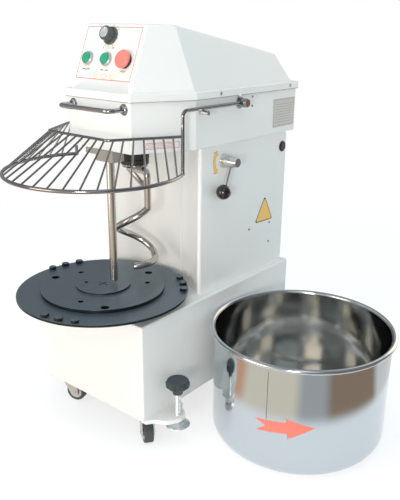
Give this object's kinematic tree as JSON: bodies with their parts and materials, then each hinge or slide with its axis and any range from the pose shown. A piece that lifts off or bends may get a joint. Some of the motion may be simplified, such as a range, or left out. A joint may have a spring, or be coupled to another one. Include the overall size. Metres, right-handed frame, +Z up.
{
  "type": "spiral dough mixer",
  "caption": "Tilting-head spiral dough mixer with spiral hook, breaker bar, wire guard, turntable, casters, levelling feet and a loose stainless bowl",
  "frame": {"origin": "on the floor, under the middle of the bounding box of machine and bowl together", "axes": "+X to the operator's right, +Y from the panel to the back, +Z up"},
  "size_m": [0.829, 0.7449, 0.91],
  "materials": {
    "cream_paint": "smooth gloss enamel",
    "stainless": "satin stainless steel",
    "polished_steel": "polished",
    "turntable_paint": "dark hard coating, low gloss",
    "zinc_steel": "zinc plated",
    "bare_aluminium": "bare, machined",
    "motor_grey": "matt grey paint",
    "cast_black": "black painted casting",
    "panel_face": "printed film, satin",
    "green_plastic": "gloss",
    "red_plastic": "gloss",
    "black_plastic": "fine texture",
    "black_gloss": "gloss",
    "black_rubber": "matt",
    "castor_tread": "matt grey-black",
    "bracket_paint": "satin grey-beige"
  },
  "bodies": {
    "machine": {"base_housing": "cream_paint", "base_frame": "cream_paint", "column_housing": "cream_paint", "head_rest_pads": "black_rubber", "column_rear_cover": "cream_paint", "power_gland": "black_plastic", "pivot_axle": "zinc_steel", "pivot_plugs": "black_plastic", "turntable_motor": "motor_grey", "turntable_bearing_housing": "cast_black", "turntable_bearings": "zinc_steel", "turntable_belt": "black_rubber"},
    "turntable": {"turntable_disc": "turntable_paint", "turntable_step": "turntable_paint", "turntable_bolts": "zinc_steel", "turntable_shaft": "polished_steel", "turntable_pulley": "bare_aluminium"},
    "turntable_drive": {"turntable_drive_pulley": "bare_aluminium"},
    "loose_bowl": {"bowl": "stainless"},
    "head": {"head_housing": "cream_paint", "head_cover": "cream_paint", "control_panel": "panel_face", "button_bezels": "polished_steel", "stop_button_collar": "black_plastic", "head_handle": "polished_steel", "cover_screws": "zinc_steel", "head_hinge_arms": "zinc_steel", "guard_bosses": "polished_steel", "spindle_housing": "cast_black", "spindle_bearings": "zinc_steel", "spiral_motor": "motor_grey", "spiral_belt": "black_rubber", "breaker_bar": "polished_steel", "breaker_bracket": "bracket_paint"},
    "spindle": {"spindle_shaft": "cast_black", "spiral_pulley": "bare_aluminium", "spiral_hook": "polished_steel"},
    "spiral_drive": {"spiral_drive_pulley": "bare_aluminium"},
    "guard": {"guard_frame": "polished_steel", "guard_spokes": "polished_steel"},
    "timer": {"timer_knob": "polished_steel"},
    "fast": {"fast_button": "green_plastic"},
    "slow": {"slow_button": "green_plastic"},
    "stop": {"stop_button": "red_plastic"},
    "lock_lever": {"lever_arm": "polished_steel", "lever_ball": "black_gloss"},
    "fork_front_right": {"caster_fork_front_right": "zinc_steel"},
    "wheel_front_right": {"caster_wheel_front_right": "castor_tread"},
    "fork_front_left": {"caster_fork_front_left": "zinc_steel"},
    "wheel_front_left": {"caster_wheel_front_left": "castor_tread"},
    "fork_rear_right": {"caster_fork_rear_right": "zinc_steel"},
    "wheel_rear_right": {"caster_wheel_rear_right": "castor_tread"},
    "fork_rear_left": {"caster_fork_rear_left": "zinc_steel"},
    "wheel_rear_left": {"caster_wheel_rear_left": "castor_tread"},
    "foot_right": {"foot_pad_right": "polished_steel"},
    "foot_screw_knob_right": {"foot_screw_right": "polished_steel", "foot_knob_right": "black_plastic"},
    "foot_left": {"foot_pad_left": "polished_steel"},
    "foot_screw_knob_left": {"foot_screw_left": "polished_steel", "foot_knob_left": "black_plastic"}
  },
  "joints": [
    {"name": "table_spin", "type": "hinge", "parent": "machine", "child": "turntable", "pos_m": [-0.1775, -0.1665, 0.331], "axis": [0, 0, 1], "continuous": true},
    {"name": "table_drive_spin", "type": "hinge", "parent": "machine", "child": "turntable_drive", "pos_m": [-0.1775, 0.1985, 0.143], "axis": [0, 0, 1], "continuous": true},
    {"name": "bowl_lift", "type": "slide", "parent": "machine", "child": "loose_bowl", "axis": [0, 0, 1], "range_m": [0, 0.25]},
    {"name": "head_tilt", "type": "hinge", "parent": "machine", "child": "head", "pos_m": [-0.1775, 0.3275, 0.617], "axis": [-1, 0, 0], "range_deg": [0, 55]},
    {"name": "hook_spin", "type": "hinge", "parent": "head", "child": "spindle", "pos_m": [-0.1755, -0.0585, 0.611], "axis": [0, 0, 1], "continuous": true},
    {"name": "spiral_drive_spin", "type": "hinge", "parent": "head", "child": "spiral_drive", "pos_m": [-0.1775, 0.2135, 0.703], "axis": [0, 0, 1], "continuous": true},
    {"name": "guard_swing", "type": "hinge", "parent": "head", "child": "guard", "pos_m": [-0.1775, 0.1215, 0.745], "axis": [-1, 0, 0], "range_deg": [0, 75]},
    {"name": "timer_turn", "type": "hinge", "parent": "head", "child": "timer", "pos_m": [-0.1815, -0.11158, 0.88536], "axis": [0, 0.9255, -0.3786], "range_deg": [0, 300]},
    {"name": "lever_turn", "type": "hinge", "parent": "machine", "child": "lock_lever", "pos_m": [-0.0285, 0.0825, 0.616], "axis": [-1, 0, 0], "range_deg": [0, 65]},
    {"name": "fast_press", "type": "slide", "parent": "head", "child": "fast", "axis": [0, 0.9255, -0.3786], "range_m": [0, 0.0025], "stiffness_N_per_m": 300},
    {"name": "slow_press", "type": "slide", "parent": "head", "child": "slow", "axis": [0, 0.9255, -0.3786], "range_m": [0, 0.0025], "stiffness_N_per_m": 300},
    {"name": "stop_press", "type": "slide", "parent": "head", "child": "stop", "axis": [0, 0.9255, -0.3786], "range_m": [0, 0.0025], "stiffness_N_per_m": 300},
    {"name": "swivel_front_right", "type": "hinge", "parent": "machine", "child": "fork_front_right", "pos_m": [-0.0445, -0.1705, 0.076], "axis": [0, 0, 1], "continuous": true},
    {"name": "roll_front_right", "type": "hinge", "parent": "fork_front_right", "child": "wheel_front_right", "pos_m": [-0.03012, -0.18133, 0.025], "axis": [0.6018, 0.7986, 0], "continuous": true},
    {"name": "swivel_front_left", "type": "hinge", "parent": "machine", "child": "fork_front_left", "pos_m": [-0.3105, -0.1705, 0.076], "axis": [0, 0, 1], "continuous": true},
    {"name": "roll_front_left", "type": "hinge", "parent": "fork_front_left", "child": "wheel_front_left", "pos_m": [-0.29329, -0.16524, 0.025], "axis": [-0.2924, 0.9563, 0], "continuous": true},
    {"name": "swivel_rear_right", "type": "hinge", "parent": "machine", "child": "fork_rear_right", "pos_m": [-0.0445, 0.3035, 0.076], "axis": [0, 0, 1], "continuous": true},
    {"name": "roll_rear_right", "type": "hinge", "parent": "fork_rear_right", "child": "wheel_rear_right", "pos_m": [-0.02861, 0.31195, 0.025], "axis": [-0.4695, 0.8829, 0], "continuous": true},
    {"name": "swivel_rear_left", "type": "hinge", "parent": "machine", "child": "fork_rear_left", "pos_m": [-0.3105, 0.3035, 0.076], "axis": [0, 0, 1], "continuous": true},
    {"name": "roll_rear_left", "type": "hinge", "parent": "fork_rear_left", "child": "wheel_rear_left", "pos_m": [-0.32609, 0.3125, 0.025], "axis": [-0.5, -0.866, 0], "continuous": true},
    {"name": "foot_lower_right", "type": "slide", "parent": "machine", "child": "foot_right", "axis": [0, 0, -1], "range_m": [0, 0.054]},
    {"name": "foot_turn_right", "type": "hinge", "parent": "foot_right", "child": "foot_screw_knob_right", "pos_m": [0.0315, -0.1465, 0.06], "axis": [0, 0, -1], "range_deg": [0, 4860]},
    {"name": "foot_lower_left", "type": "slide", "parent": "machine", "child": "foot_left", "axis": [0, 0, -1], "range_m": [0, 0.054]},
    {"name": "foot_turn_left", "type": "hinge", "parent": "foot_left", "child": "foot_screw_knob_left", "pos_m": [-0.3865, -0.1465, 0.06], "axis": [0, 0, -1], "range_deg": [0, 4860]}
  ],
  "couplings": [
    {"joint": "table_drive_spin", "follows": "table_spin", "ratio": 1.6364},
    {"joint": "spiral_drive_spin", "follows": "hook_spin", "ratio": 4},
    {"joint": "foot_turn_right", "follows": "foot_lower_right", "rad_per_m": 1570.8},
    {"joint": "foot_turn_left", "follows": "foot_lower_left", "rad_per_m": 1570.8}
  ]
}
